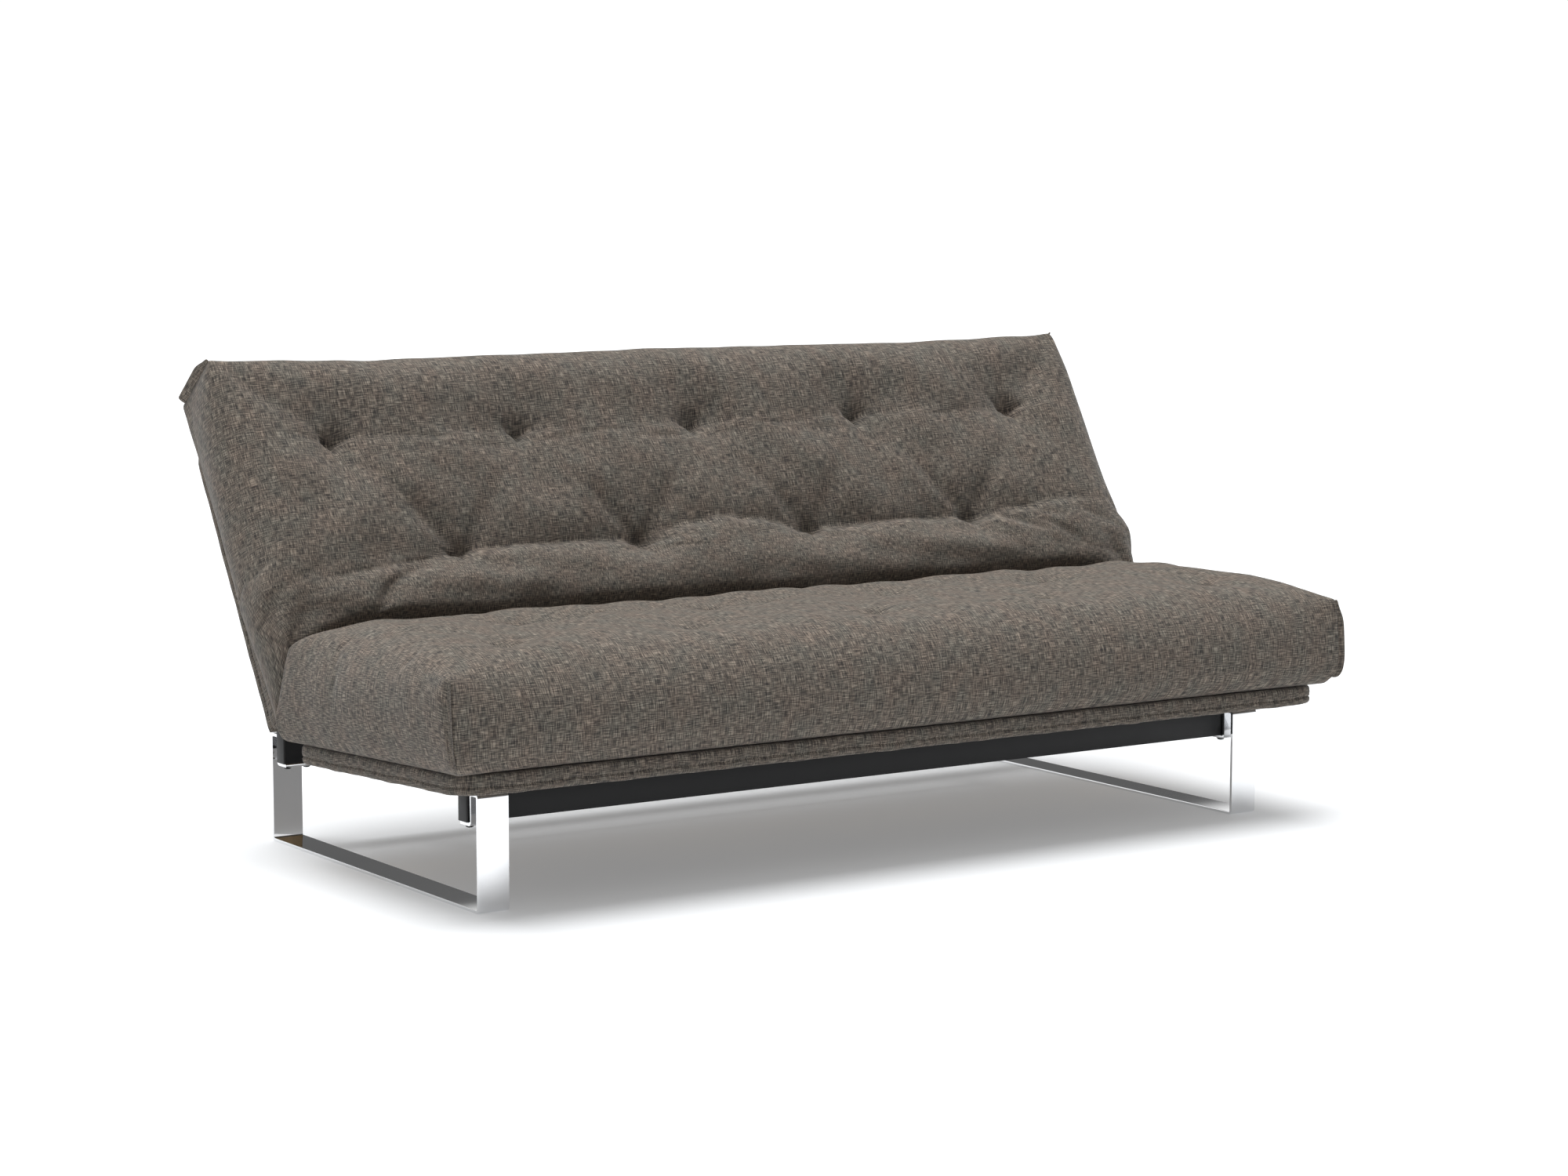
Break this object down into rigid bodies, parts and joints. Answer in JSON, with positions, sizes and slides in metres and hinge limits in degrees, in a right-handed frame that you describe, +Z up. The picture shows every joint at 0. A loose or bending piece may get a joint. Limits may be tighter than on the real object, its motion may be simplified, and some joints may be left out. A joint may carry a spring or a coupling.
{
  "type": "futon sofa bed",
  "caption": "Armless futon sofa bed: a folded tufted mattress on two hinged upholstered platforms over a rail frame with flat-bar sled legs, opening flat into a bed.",
  "frame": {"origin": "on the floor under the middle of the whole sofa", "axes": "+X along the sofa to the sitter's left, -Y to the front, +Z up"},
  "size_m": [2, 1.092, 0.9212],
  "materials": {
    "mattress_fabric": "matte",
    "cover_fabric": "matte",
    "chrome": "polished",
    "black_steel": "satin",
    "zinc_steel": "satin",
    "black_plastic": "matte",
    "rubber": "matte",
    "plywood": "satin"
  },
  "bodies": {
    "frame": {"sled_leg_left": "chrome", "leg_screw_front_left_1": "black_steel", "leg_screw_front_left_2": "black_steel", "leg_screw_rear_left_1": "black_steel", "leg_screw_rear_left_2": "black_steel", "sled_leg_right": "chrome", "leg_screw_front_right_1": "black_steel", "leg_screw_front_right_2": "black_steel", "leg_screw_rear_right_1": "black_steel", "leg_screw_rear_right_2": "black_steel", "front_rail": "black_steel", "rail_cap_front_left": "black_plastic", "rail_cap_front_right": "black_plastic", "rail_bumper_front_left": "rubber", "rail_bumper_front_right": "rubber", "rear_rail": "black_steel", "rail_cap_rear_left": "black_plastic", "rail_cap_rear_right": "black_plastic", "rail_bumper_rear_left": "rubber", "rail_bumper_rear_right": "rubber", "side_beam_left": "black_steel", "guide_axle_front_left": "zinc_steel", "guide_bush_front_left": "black_plastic", "guide_axle_rear_left": "zinc_steel", "guide_bush_rear_left": "black_plastic", "side_beam_right": "black_steel", "guide_axle_front_right": "zinc_steel", "guide_bush_front_right": "black_plastic", "guide_axle_rear_right": "zinc_steel", "guide_bush_rear_right": "black_plastic", "lock_pivot_left": "zinc_steel", "lock_pivot_right": "zinc_steel"},
    "seat": {"glide_plate_left": "zinc_steel", "glide_plate_right": "zinc_steel", "seat_board": "plywood", "seat_cover": "cover_fabric", "seat_front_tube": "black_steel", "seat_rear_tube": "black_steel", "hinge_bush_left": "black_plastic", "hinge_pin_left": "zinc_steel", "hinge_bush_right": "black_plastic", "hinge_pin_right": "zinc_steel", "mattress_seat": "mattress_fabric"},
    "back": {"back_board": "plywood", "back_cover": "cover_fabric", "back_arm_left": "zinc_steel", "back_arm_right": "zinc_steel", "mattress_back": "mattress_fabric"},
    "lock": {"lock_pawl_left": "zinc_steel", "lock_pawl_right": "zinc_steel", "lock_release_rod": "black_steel"}
  },
  "joints": [
    {"name": "seat_swing", "type": "hinge", "parent": "frame", "child": "seat", "pos_m": [0, -1.00083, -3.33131], "axis": [1, 0, 0], "range_deg": [0, 2.63]},
    {"name": "back_recline", "type": "hinge", "parent": "seat", "child": "back", "pos_m": [0, 0.1517, 0.2326], "axis": [-1, 0, 0], "range_deg": [0, 61.03]},
    {"name": "lock_release", "type": "hinge", "parent": "frame", "child": "lock", "pos_m": [0, 0.284, 0.1783], "axis": [1, 0, 0], "range_deg": [0, 32]}
  ],
  "couplings": [
    {"joint": "back_recline", "follows": "seat_swing", "ratio": 23.172}
  ]
}
